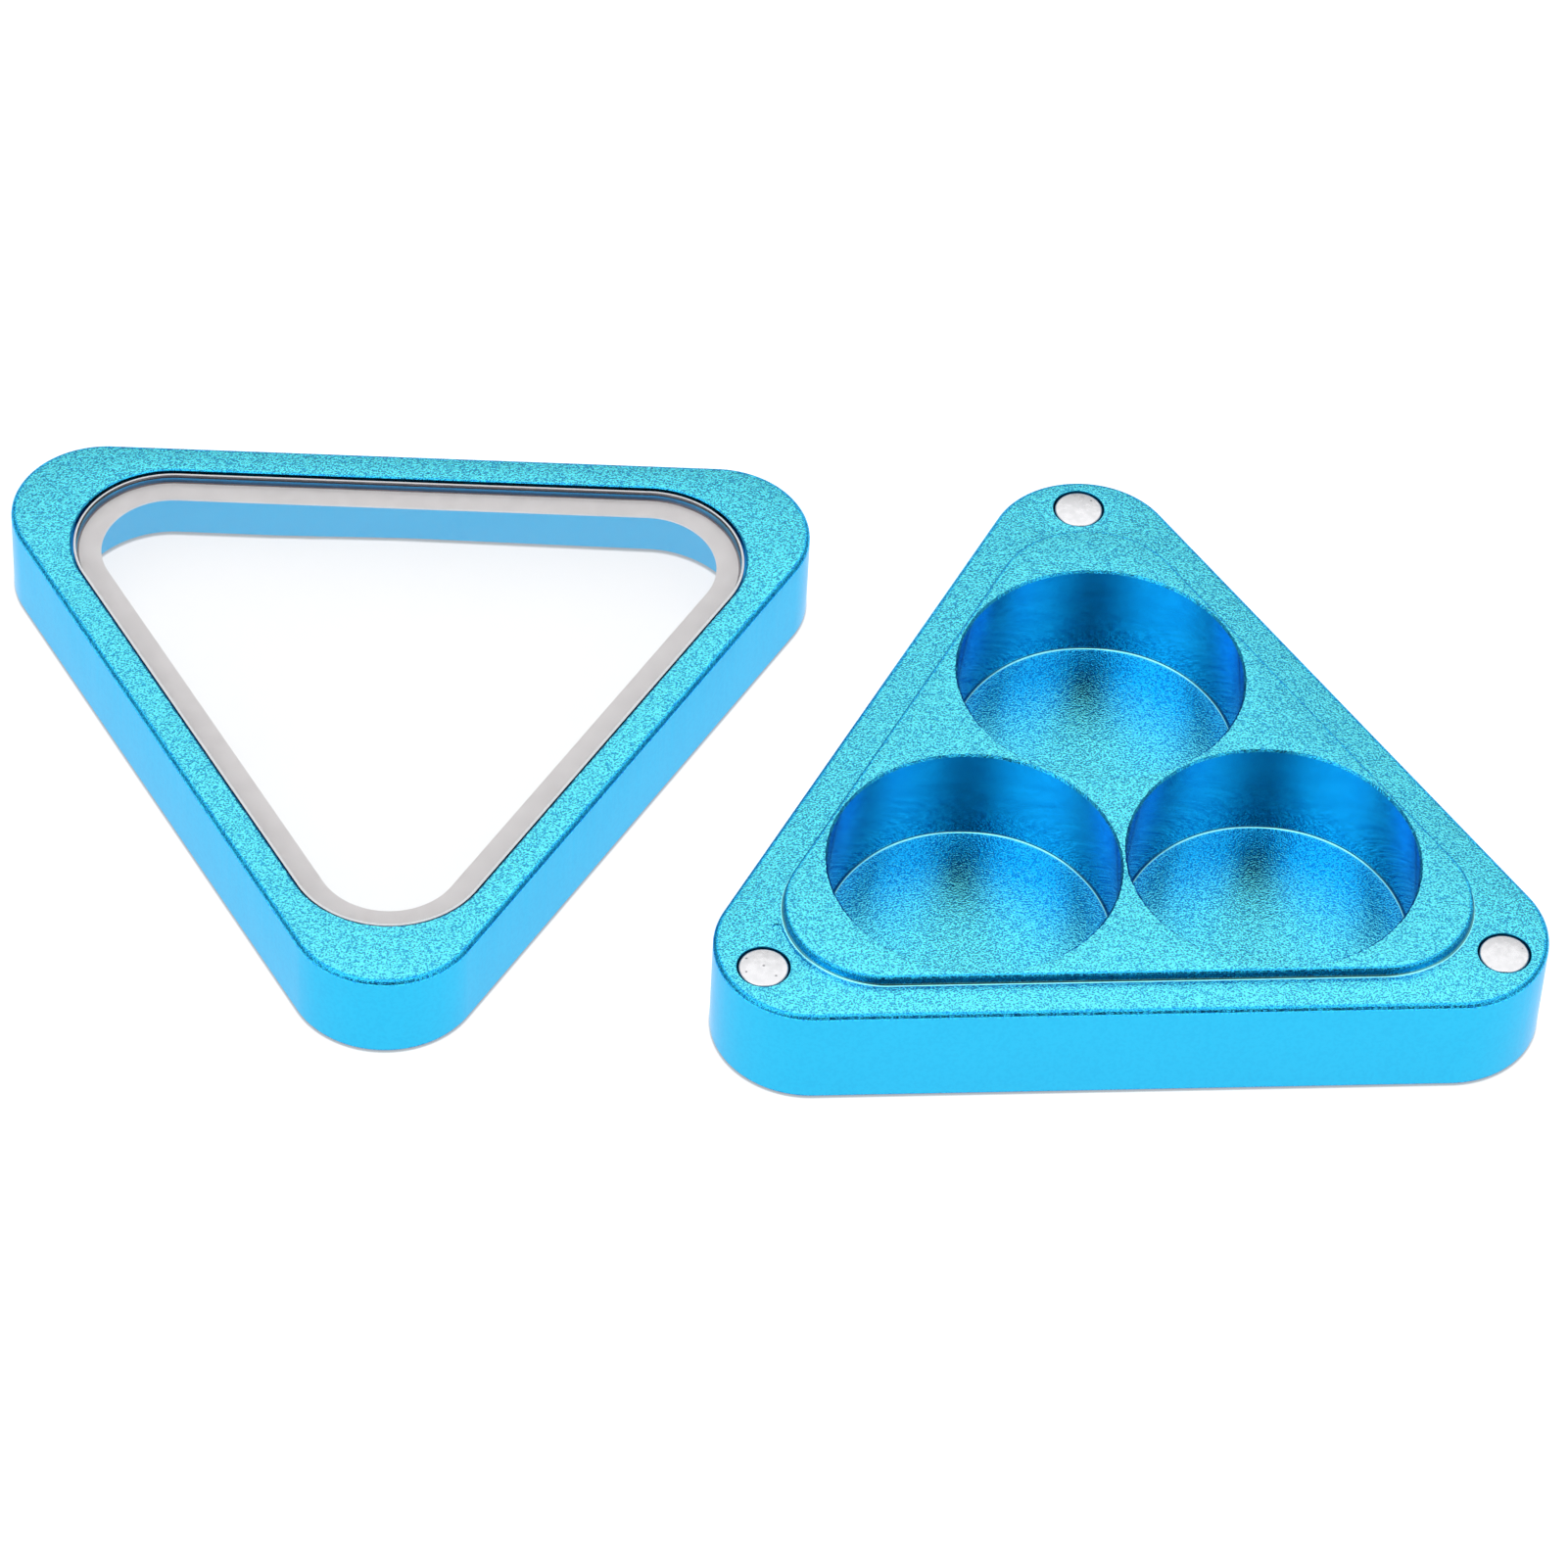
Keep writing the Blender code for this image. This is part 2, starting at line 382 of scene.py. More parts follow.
def smooth_range(tree: bpy.types.NodeTree, value: Socket, span: Span, result: Span) -> Socket:
    """Stretches a value from one span to another with soft ends, and holds it inside.

    Args:
        tree: the nodes that the value belongs to.
        value: what to stretch.
        span: the values that become the result's two ends.
        result: the result's two ends.

    Returns:
        The stretched value.
    """
    made = tree.nodes.new("ShaderNodeMapRange")
    made.interpolation_type = "SMOOTHSTEP"
    for name, number in zip(("From Min", "From Max", "To Min", "To Max"), (*span, *result)):
        made.inputs[name].default_value = number
    tree.links.new(value, made.inputs["Value"])
    return made.outputs["Result"]


class FinishGraph:
    """The nodes of one finish, around its Principled shader."""

    def __init__(self, name: str) -> None:
        """Starts a material.

        Args:
            name: the material's name.
        """
        self.material = bpy.data.materials.new(name)
        self.material.use_nodes = True
        self.tree = self.material.node_tree
        self.shader = self.tree.nodes["Principled BSDF"]
        self.output = self.tree.nodes["Material Output"]
        self.place = self.node("ShaderNodeTexCoord").outputs["Object"]

    def node(self, kind: str, **settings: object) -> bpy.types.Node:
        """Adds a node and sets its properties.

        Args:
            kind: Blender's name of the node's type.
            settings: properties of the node, by name.

        Returns:
            The new node.
        """
        made = self.tree.nodes.new(kind)
        for name, value in settings.items():
            setattr(made, name, value)
        return made

    def join(self, source: Socket, target: Socket) -> None:
        """Links one socket to another."""
        self.tree.links.new(source, target)

    def feed(self, source: Socket, name: str) -> None:
        """Links a socket to the Principled shader's socket of that name."""
        self.join(source, self.shader.inputs[name])

    def set(self, **values: object) -> None:
        """Sets sockets of the Principled shader, with _ for a space in their names."""
        for name, value in values.items():
            self.shader.inputs[name.replace("_", " ")].default_value = value

    def stretched(self, scale: Triple) -> Socket:
        """Coordinates for a pattern that runs one way.

        Args:
            scale: what each of the object's coordinates is multiplied by.

        Returns:
            The coordinates.
        """
        mapping = self.node("ShaderNodeMapping")
        mapping.inputs["Scale"].default_value = scale
        self.join(self.place, mapping.inputs["Vector"])
        return mapping.outputs["Vector"]

    def noise(
        self, grain: float, detail: float = 2.0, rough: float = 0.5, at: Socket | None = None
    ) -> Socket:
        """Soft random pattern.

        Args:
            grain: size of one blotch, in metres.
            detail: number of finer octaves.
            rough: strength of the finer octaves.
            at: coordinates to use instead of the object's own.

        Returns:
            The pattern's value, about 0 to 1.
        """
        made = self.node("ShaderNodeTexNoise")
        made.inputs["Scale"].default_value = 1 / grain
        made.inputs["Detail"].default_value = detail
        made.inputs["Roughness"].default_value = rough
        self.join(at or self.place, made.inputs["Vector"])
        return made.outputs["Fac"]

    def pits(self, spacing: float) -> Socket:
        """Distance to the nearest of many scattered points.

        Args:
            spacing: how far apart the points are, in metres.

        Returns:
            The distance, about 0 to 1.
        """
        made = self.node("ShaderNodeTexVoronoi")
        made.inputs["Scale"].default_value = 1 / spacing
        self.join(self.place, made.inputs["Vector"])
        return made.outputs["Distance"]

    def remap(self, value: Socket, span: Span, result: Span = (0.0, 1.0)) -> Socket:
        """Returns a value stretched from span to result and held inside it."""
        return smooth_range(self.tree, value, span, result)

    def between(self, factor: Socket, first: Colour, second: Colour) -> Socket:
        """Blends two colours.

        Args:
            factor: the share of the second colour, 0 to 1.
            first: colour where the factor is 0.
            second: colour where it is 1.

        Returns:
            The blended colour.
        """
        made = self.node("ShaderNodeMix", data_type="RGBA")
        made.inputs["A"].default_value = (*first, 1.0)
        made.inputs["B"].default_value = (*second, 1.0)
        self.join(factor, made.inputs["Factor"])
        return made.outputs["Result"]

    def bump(self, height: Socket, depth: float, under: Socket | None = None) -> Socket:
        """Relief from a pattern.

        Args:
            height: the pattern, 0 to 1.
            depth: height of the relief, in metres.
            under: relief that this one lies on.

        Returns:
            The bent normal.
        """
        made = self.node("ShaderNodeBump")
        made.inputs["Distance"].default_value = depth
        self.join(height, made.inputs["Height"])
        if under is not None:
            self.join(under, made.inputs["Normal"])
        return made.outputs["Normal"]


@dataclass(frozen=True)
class Anodising:
    """Sky-blue anodised aluminium, with a grain that depends on how the face was worked.

    The depths of grain and streaks are those of their relief; streaks run upright. The grain's low
    spots take the pit colour: random tone, and painted shade in the pits.
    """

    name: str
    colour: Colour
    pit_colour: Colour
    roughness: float = 0.12
    grain: float = 0.2 * MM
    grain_depth: float = 0.002 * MM
    grain_detail: float = 1.5
    grain_fineness: float = 0.55
    tone_span: Span = (0.40, 0.54)
    streak_depth: float = 0.0
    streak_width: float = 0.12 * MM
    streak_scale: Triple = (1.0, 1.0, 0.03)
    patch_size: float = 3.0 * MM
    patch_change: float = 0.02
    coat: float = 0.4
    coat_roughness: float = 0.08
    glancing_tint: Colour = (0.6, 0.8, 0.95)

    def material(self) -> bpy.types.Material:
        """Makes the finish.

        Returns:
            Metal whose tone and relief follow one fine grain, darker in the pits as painted shade,
            and whose gloss changes in patches.
        """
        graph = FinishGraph(self.name)
        graph.set(Metallic=1.0, Coat_Weight=self.coat, Coat_Roughness=self.coat_roughness)
        graph.set(Specular_Tint=(*self.glancing_tint, 1.0))
        grain = graph.noise(self.grain, self.grain_detail, self.grain_fineness)
        # Low spots of the grain take the darker pit colour: random tone of the grain, and painted
        # shade in its pits.
        tone = graph.remap(grain, self.tone_span)
        graph.feed(graph.between(tone, self.pit_colour, self.colour), "Base Color")
        relief = graph.bump(grain, self.grain_depth)
        if self.streak_depth > 0.0:
            streaks = graph.noise(self.streak_width, at=graph.stretched(self.streak_scale))
            relief = graph.bump(streaks, self.streak_depth, under=relief)
        graph.feed(relief, "Normal")
        graph.feed(relief, "Coat Normal")
        patches = graph.noise(self.patch_size, detail=1.0)
        gloss = (self.roughness - self.patch_change, self.roughness + self.patch_change)
        graph.feed(graph.remap(patches, NOISE_SPAN, gloss), "Roughness")
        return graph.material


@dataclass(frozen=True)
class NickelPlate:
    """Nickel plate on a disc magnet, with a few pits and handling marks."""

    name: str = "nickel_plate"
    colour: Colour = (0.80, 0.80, 0.82)
    pit_colour: Colour = (0.42, 0.42, 0.44)
    pit_spacing: float = 0.8 * MM
    pit_rim: Span = (0.06, 0.12)
    pit_depth: float = 0.01 * MM
    smudge_size: float = 0.5 * MM
    smudge_detail: float = 3.0
    gloss: Span = (0.20, 0.36)
    ripple_size: float = 0.25 * MM
    ripple_depth: float = 0.006 * MM

    def material(self) -> bpy.types.Material:
        """Makes the finish.

        Returns:
            Soft silver metal, darker in scattered pits.
        """
        graph = FinishGraph(self.name)
        graph.set(Metallic=1.0)
        spot = graph.remap(graph.pits(self.pit_spacing), self.pit_rim)
        graph.feed(graph.between(spot, self.pit_colour, self.colour), "Base Color")
        smudges = graph.noise(self.smudge_size, self.smudge_detail)
        graph.feed(graph.remap(smudges, NOISE_SPAN, self.gloss), "Roughness")
        ripples = graph.noise(self.ripple_size, self.smudge_detail)
        relief = graph.bump(ripples, self.ripple_depth, under=graph.bump(spot, self.pit_depth))
        graph.feed(relief, "Normal")
        return graph.material


@dataclass(frozen=True)
class ClearAcrylic:
    """Polished clear acrylic, with the faintest haze."""

    name: str = "clear_acrylic"
    refraction: float = 1.49
    haze_size: float = 4.0 * MM
    haze_detail: float = 3.0
    haze_span: Span = (0.35, 0.75)
    haze: Span = (0.0, 0.04)

    def material(self) -> bpy.types.Material:
        """Makes the finish.

        Returns:
            Clear material that casts no shadow on what lies under it.
        """
        graph = FinishGraph(self.name)
        graph.set(Transmission_Weight=1.0, IOR=self.refraction)
        haze = graph.noise(self.haze_size, self.haze_detail)
        graph.feed(graph.remap(haze, self.haze_span, self.haze), "Roughness")
        clear = graph.node("ShaderNodeBsdfTransparent")
        path = graph.node("ShaderNodeLightPath")
        both = graph.node("ShaderNodeMixShader")
        graph.join(path.outputs["Is Shadow Ray"], both.inputs[0])
        graph.join(graph.shader.outputs["BSDF"], both.inputs[1])
        graph.join(clear.outputs["BSDF"], both.inputs[2])
        graph.join(both.outputs["Shader"], graph.output.inputs["Surface"])
        return graph.material


@dataclass(frozen=True)
class GroundHighlightAcrylic:
    """Acrylic left whitish where its edge was ground, the white being partly a painted highlight
    along the pane's top edge.
    """

    name: str = "ground_acrylic_painted_highlight"
    colour: Colour = (0.98, 0.98, 0.98)
    shade: Colour = (0.85, 0.86, 0.88)
    scratch_size: float = 0.08 * MM
    scratch_depth: float = 0.004 * MM
    tone_span: Span = (0.35, 0.60)
    gloss: Span = (0.35, 0.55)

    def material(self) -> bpy.types.Material:
        """Makes the finish.

        Returns:
            Satin white, with fine scratches.
        """
        graph = FinishGraph(self.name)
        scratches = graph.noise(self.scratch_size)
        tone = graph.remap(scratches, self.tone_span)
        # Near-white colour: frosting of the ground edge plus a painted highlight along the pane's
        # top edge.
        graph.feed(graph.between(tone, self.shade, self.colour), "Base Color")
        graph.feed(graph.remap(scratches, NOISE_SPAN, self.gloss), "Roughness")
        graph.feed(graph.bump(scratches, self.scratch_depth), "Normal")
        return graph.material


@dataclass(frozen=True)
class SilverFilm:
    """Satin silver-grey film, or the dark strip round it that is painted shade of the gap at the
    pane's edge.
    """

    name: str
    colour: Colour
    shade: Colour
    metallic: float = 0.15
    mottle_size: float = 0.9 * MM
    mottle_detail: float = 4.0
    gloss: Span = (0.45, 0.35)
    texture_size: float = 0.1 * MM
    texture_depth: float = 0.003 * MM

    def material(self) -> bpy.types.Material:
        """Makes the finish.

        Returns:
            Satin surface with soft mottling.
        """
        graph = FinishGraph(self.name)
        graph.set(Metallic=self.metallic)
        mottle = graph.remap(graph.noise(self.mottle_size, self.mottle_detail), NOISE_SPAN)
        graph.feed(graph.between(mottle, self.shade, self.colour), "Base Color")
        graph.feed(graph.remap(mottle, (0.0, 1.0), self.gloss), "Roughness")
        graph.feed(graph.bump(graph.noise(self.texture_size), self.texture_depth), "Normal")
        return graph.material


# No face's height is a whole number of blasting grains, because the noise is flat at those heights.
BLASTING_GRAIN = 0.107 * MM

ANODISING = {
    # A pit_colour much darker than its colour paints shade into the grain's pits.
    Surface.BLASTED: Anodising(
        "blasted_blue",
        colour=(0.13, 0.87, 1.0),
        pit_colour=(0.02, 0.38, 0.66),
        grain=BLASTING_GRAIN,
        grain_depth=0.038 * MM,
    ),
    Surface.SIDE: Anodising(
        "side_blue",
        colour=(0.011, 0.475, 0.785),
        pit_colour=(0.009, 0.45, 0.765),
        roughness=0.32,
        grain=0.25 * MM,
        streak_depth=0.001 * MM,
    ),
    Surface.WALL: Anodising(
        "wall_blue",
        colour=(0.003, 0.45, 0.92),
        pit_colour=(0.002, 0.43, 0.90),
        roughness=0.13,
        grain=0.3 * MM,
        grain_depth=0.0004 * MM,
        streak_depth=0.0005 * MM,
    ),
    Surface.EDGE: Anodising(
        "edge_blue",
        colour=(0.035, 0.64, 1.0),
        pit_colour=(0.006, 0.30, 0.78),
        roughness=0.14,
        grain=BLASTING_GRAIN,
        grain_depth=0.040 * MM,
        coat=0.15,
    ),
    # A lighter, whiter blue than the blasted faces: a painted highlight along the fillets.
    Surface.FILLET: Anodising(
        "fillet_painted_highlight",
        colour=(0.30, 0.90, 1.0),
        pit_colour=(0.22, 0.84, 0.98),
    ),
    Surface.POCKET: Anodising(
        "pocket_blue",
        colour=(0.012, 0.45, 0.80),
        pit_colour=(0.01, 0.42, 0.77),
        roughness=0.35,
        grain_depth=0.004 * MM,
    ),
}


def give_finishes(piece: bpy.types.Object, finishes: list[Anodising | NickelPlate]) -> None:
    """Gives a piece finishes that several pieces share.

    Args:
        piece: the piece.
        finishes: the finish of each of its surfaces, in order.
    """
    for finish in finishes:
        made = bpy.data.materials.get(finish.name)
        piece.data.materials.append(made or finish.material())


@dataclass
class MilledBlock:
    """What both blocks share: the outline, the broken edges and the magnet pockets."""

    placement: Placement
    outer: RoundedTriangle
    height: float
    magnet_reach: float
    edge: float = 0.27 * MM
    edge_roundness: float = 1.7
    magnet_pocket_radius: float = 1.6 * MM
    magnet_pocket_depth: float = 2.1 * MM
    magnet_pocket_edge: float = 0.03 * MM
    border: float = 2.5 * MM
    plateau_corner_radius: float = 5.9 * MM
    corner_steps: int = 72
    side_steps: int = 200
    edge_steps: int = 5
    nicks: Nicks = Nicks()

    @property
    def plateau_outline(self) -> RoundedTriangle:
        """Outline of the plateau's side, which the lid's inner outlines run parallel to."""
        return RoundedTriangle(self.outer.inradius - self.border, self.plateau_corner_radius)

    def outer_points(self, inset: float) -> Outline:
        """Returns the points of the outline that far inside the block's sides."""
        return self.outer.inset(inset).points(self.corner_steps, self.side_steps)

    def inner_points(self, inset: float) -> Outline:
        """Returns the points of the outline at that inset, parallel to the plateau's."""
        parallel = self.plateau_outline.inset(inset - self.border)
        return parallel.points(self.corner_steps, self.side_steps)

    def outer_side(self, skin: Skin) -> tuple[Ring, Ring]:
        """Skins the block's outside, with broken edges below and above.

        Args:
            skin: where the faces go.

        Returns:
            The ring of the underside and the ring of the top face.
        """
        edge, reach = self.edge, self.nicks.reach
        middle = broken_edge(edge, self.edge_steps, self.edge_roundness)[1:-1]
        low = [skin.ring(self.outer_points(inset), drop) for inset, drop in reversed(middle)]
        underside = skin.ring(self.outer_points(edge), 0.0)
        low = [underside, *low, skin.ring(self.outer_points(0.0), edge)]
        side = self.outer_points(0.0)
        shoulder = (self.height - edge, self.height - edge - reach)
        high = [skin.nicked_ring(side, side, shoulder, self.nicks)]
        high += [skin.ring(self.outer_points(inset), self.height - drop) for inset, drop in middle]
        face = (self.outer_points(edge), self.outer_points(edge + reach))
        high.append(skin.nicked_ring(*face, (self.height, self.height), self.nicks))
        skin.bands(low, Surface.EDGE)
        skin.strip(low[-1], high[0], Surface.SIDE)
        skin.bands(high, Surface.EDGE)
        return low[0], high[-1]

    def magnet_pockets(self, skin: Skin, face: float, inwards: int, steps: int = 64) -> list[Ring]:
        """Skins a pocket in each corner.

        Args:
            skin: where the pockets go.
            face: height of the face that the pockets are cut into.
            inwards: +1 if they go up from the face, -1 if they go down.
            steps: number of facets round a pocket.

        Returns:
            The ring of each pocket's mouth.
        """
        mouths = []
        edge = self.magnet_pocket_edge
        section = ((edge, 0.0), (0.0, edge), (0.0, self.magnet_pocket_depth))
        for corner in Corner:
            centre = at_angle(self.magnet_reach, corner.angle)
            rings = []
            for out, depth in section:
                outline = circle(centre, self.magnet_pocket_radius + out, steps)
                rings.append(skin.ring(outline, face + inwards * depth))
            skin.bands(rings, Surface.POCKET)
            skin.cap(rings[-1], Surface.POCKET)
            mouths.append(rings[0])
        return mouths

    def dress(self, piece: bpy.types.Object, body: str, node: str) -> None:
        """Gives the block its finishes and fixes it to its body.

        Args:
            piece: the block's object.
            body: CAD body that it rides on.
            node: CAD node that it stands for.
        """
        give_finishes(piece, [ANODISING[surface] for surface in Surface])
        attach(piece, body)
        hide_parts(node)


@dataclass
class CutterTrace:
    """Faint shallow slot that a small cutter left between a magnet and the plateau's corner.

    Start and end are degrees from the corner's direction; the gap is to the plateau's foot.
    """

    corner: Corner
    start: float = -20.0
    end: float = 11.0
    gap: float = 0.06 * MM
    width: float = 0.62 * MM
    depth: float = 0.08 * MM
    slope: float = 0.05 * MM
    steps: int = 40
    tip_steps: int = 12

    def outline(self, foot: RoundedTriangle, width: float) -> Outline:
        """Works out an outline along the slot, round the plateau's corner.

        Args:
            foot: outline of the plateau's foot.
            width: the outline's width.

        Returns:
            The points, anticlockwise.
        """
        centre = foot.corner_centre(self.corner)
        middle = foot.corner_radius + self.gap + self.width / 2
        points = []
        for side, first, last in ((1, self.start, self.end), (-1, self.end, self.start)):
            for step in range(self.steps + 1):
                turn = self.corner.angle + math.radians(first + (last - first) * step / self.steps)
                points.append(centre + at_angle(middle + side * width / 2, turn))
            heading = self.corner.angle + math.radians(last)
            tip = centre + at_angle(middle, heading)
            for step in range(1, self.tip_steps):
                turn = heading + (0.0 if side > 0 else math.pi) + math.pi * step / self.tip_steps
                points.append(tip + at_angle(width / 2, turn))
        return points

    def cut(self, skin: Skin, foot: RoundedTriangle, face: float) -> Ring:
        """Skins the slot.

        Args:
            skin: where the faces go.
            foot: outline of the plateau's foot.
            face: height of the face that the slot is cut into.

        Returns:
            The ring of its mouth.
        """
        mouth = skin.ring(self.outline(foot, self.width), face)
        floor = skin.ring(self.outline(foot, self.width - 2 * self.slope), face - self.depth)
        skin.strip(mouth, floor, Surface.EDGE)
        skin.cap(floor, Surface.BLASTED)
        return mouth


@dataclass
class MilledBase(MilledBlock):
    """The lower block: border, raised plateau and three round wells."""

    plateau_height: float = 7.75 * MM
    plateau_fillet: float = 0.16 * MM
    plateau_edge: float = 0.16 * MM
    well_side_wall: float = 0.4 * MM
    well_parting_wall: float = 0.4 * MM
    well_floor: float = 1.0 * MM
    well_rim: float = 0.10 * MM
    well_floor_fillet: float = 0.16 * MM
    fillet_steps: int = 8
    well_steps: int = 320

    @property
    def well_radius(self) -> float:
        """Largest radius that leaves the walls between the wells and beside them."""
        room = self.outer.inradius - self.border - self.well_side_wall
        return (room - self.well_parting_wall / (2 * math.sqrt(3))) / (1 + 1 / math.sqrt(3))

    @property
    def well_reach(self) -> float:
        """Distance of each well's centre from the middle."""
        return (2 * self.well_radius + self.well_parting_wall) / math.sqrt(3)

    def plateau(self, skin: Skin) -> tuple[Ring, Ring]:
        """Skins the plateau's side, from its fillet on the border to its top edge.

        Args:
            skin: where the faces go.

        Returns:
            The ring of its foot on the border and the ring of its top.
        """
        start = self.border - self.plateau_fillet
        foot = [
            skin.ring(self.inner_points(start + across), self.height + up)
            for across, up in fillet(self.plateau_fillet, self.fillet_steps)
        ]
        edge, reach, top = self.plateau_edge, self.nicks.reach, self.plateau_height
        side = self.inner_points(self.border)
        crest = [skin.nicked_ring(side, side, (top - edge, top - edge - reach), self.nicks)]
        for across, down in broken_edge(edge, self.edge_steps, self.edge_roundness)[1:-1]:
            crest.append(skin.ring(self.inner_points(self.border + across), top - down))
        fresh = self.inner_points(self.border + edge)
        worn = self.inner_points(self.border + edge + reach)
        crest.append(skin.nicked_ring(fresh, worn, (top, top), self.nicks))
        skin.bands(foot, Surface.FILLET)
        skin.strip(foot[-1], crest[0], Surface.WALL)
        skin.bands(crest, Surface.EDGE)
        return foot[0], crest[-1]

    def well(self, skin: Skin, centre: Vector) -> Ring:
        """Skins one well.

        Args:
            skin: where the well goes.
            centre: its centre.

        Returns:
            The ring of its rim.
        """
        top, edge, reach = self.plateau_height, self.well_rim, self.nicks.reach
        fresh = circle(centre, self.well_radius + edge, self.well_steps)
        worn = circle(centre, self.well_radius + edge + reach, self.well_steps)
        wall = circle(centre, self.well_radius, self.well_steps)
        rim = skin.nicked_ring(fresh, worn, (top, top), self.nicks)
        lip = skin.nicked_ring(wall, wall, (top - edge, top - edge - reach), self.nicks)
        skin.strip(rim, lip, Surface.EDGE)
        feet = []
        for across, up in reversed(fillet(self.well_floor_fillet, self.fillet_steps)):
            radius = self.well_radius - self.well_floor_fillet + across
            feet.append(skin.ring(circle(centre, radius, self.well_steps), self.well_floor + up))
        skin.strip(lip, feet[0], Surface.WALL)
        skin.bands(feet, Surface.FILLET)
        skin.cap(feet[-1], Surface.BLASTED)
        return rim

    def build(self) -> bpy.types.Object:
        """Builds the whole block.

        Returns:
            One closed piece.
        """
        skin = Skin()
        underside, border = self.outer_side(skin)
        skin.cap(underside, Surface.BLASTED)
        foot, crest = self.plateau(skin)
        mouths = self.magnet_pockets(skin, self.height, inwards=-1)
        foot_line = self.plateau_outline.inset(-self.plateau_fillet)
        mouths.append(CutterTrace(Corner.LEFT).cut(skin, foot_line, self.height))
        skin.sheet([border, foot, *mouths], Surface.BLASTED)
        rims = [self.well(skin, at_angle(self.well_reach, corner.angle)) for corner in Corner]
        skin.sheet([crest, *rims], Surface.BLASTED)
        return skin.finish("milled_base", self.placement)


@dataclass
class MilledLid(MilledBlock):
    """The upper block: a rim round the window's recess, a ledge, and a pocket for the plateau."""

    rim: float = 2.1 * MM
    rim_edge: float = 0.06 * MM
    ledge_width: float = 1.0 * MM
    ledge_thickness: float = 0.7 * MM
    ledge_top: float = 4.75 * MM
    clearance: float = 0.3 * MM
    pocket_edge: float = 0.2 * MM

    def build(self) -> bpy.types.Object:
        """Builds the whole frame, from the recess's rim down to the pocket's mouth.

        Returns:
            One closed piece.
        """
        skin = Skin()
        underside, top = self.outer_side(skin)
        seat = self.rim + self.ledge_width
        pocket = self.border - self.clearance
        ceiling = self.ledge_top - self.ledge_thickness
        fresh = self.inner_points(self.rim - self.rim_edge)
        worn = self.inner_points(self.rim - self.rim_edge - self.nicks.reach)
        rings = [skin.nicked_ring(fresh, worn, (self.height, self.height), self.nicks)]
        section = (
            (self.rim, self.height - self.rim_edge, Surface.EDGE),
            (self.rim, self.ledge_top, Surface.WALL),
            (seat, self.ledge_top, Surface.POCKET),
            (seat, ceiling, Surface.POCKET),
            (pocket, ceiling, Surface.POCKET),
            (pocket, self.pocket_edge, Surface.POCKET),
            (pocket - self.pocket_edge, 0.0, Surface.EDGE),
        )
        for inset, height, surface in section:
            rings.append(skin.ring(self.inner_points(inset), height))
            skin.strip(rings[-2], rings[-1], surface)
        mouths = self.magnet_pockets(skin, 0.0, inwards=1)
        skin.sheet([underside, rings[-1], *mouths], Surface.BLASTED)
        skin.sheet([top, rings[0]], Surface.BLASTED)
        return skin.finish("milled_lid", self.placement)


@dataclass
class CornerMagnet:
    """A disc magnet, glued into a corner just below the face."""

    node: str
    body: str
    edge: float = 0.12 * MM
    edge_roundness: float = 2.0
    steps: int = 96
    edge_steps: int = 4
    sharp_degrees: float = 40.0

    def build(self) -> bpy.types.Object:
        """Builds the disc in the space of its CAD node.

        Returns:
            One closed piece.
        """
        low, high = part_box(self.node)
        centre = ((low + high) / 2).to_2d()
        radius = (high.x - low.x) / 2
        edge = broken_edge(self.edge, self.edge_steps, self.edge_roundness)
        section = [(radius - inset, low.z + up) for inset, up in reversed(edge)]
        section += [(radius - inset, high.z - down) for inset, down in edge]
        skin = Skin()
        rings = [skin.ring(circle(centre, size, self.steps), height) for size, height in section]
        skin.bands(rings, Plain.ALL)
        skin.cap(rings[0], Plain.ALL)
        skin.cap(rings[-1], Plain.ALL)
        return skin.finish(f"{self.node}_disc", AS_DRAWN, self.sharp_degrees)

    def dress(self, piece: bpy.types.Object) -> None:
        """Plates the disc and fixes it to its body.

        Args:
            piece: the disc.
        """
        give_finishes(piece, [NickelPlate()])
        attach(piece, self.body)
        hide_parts(self.node)


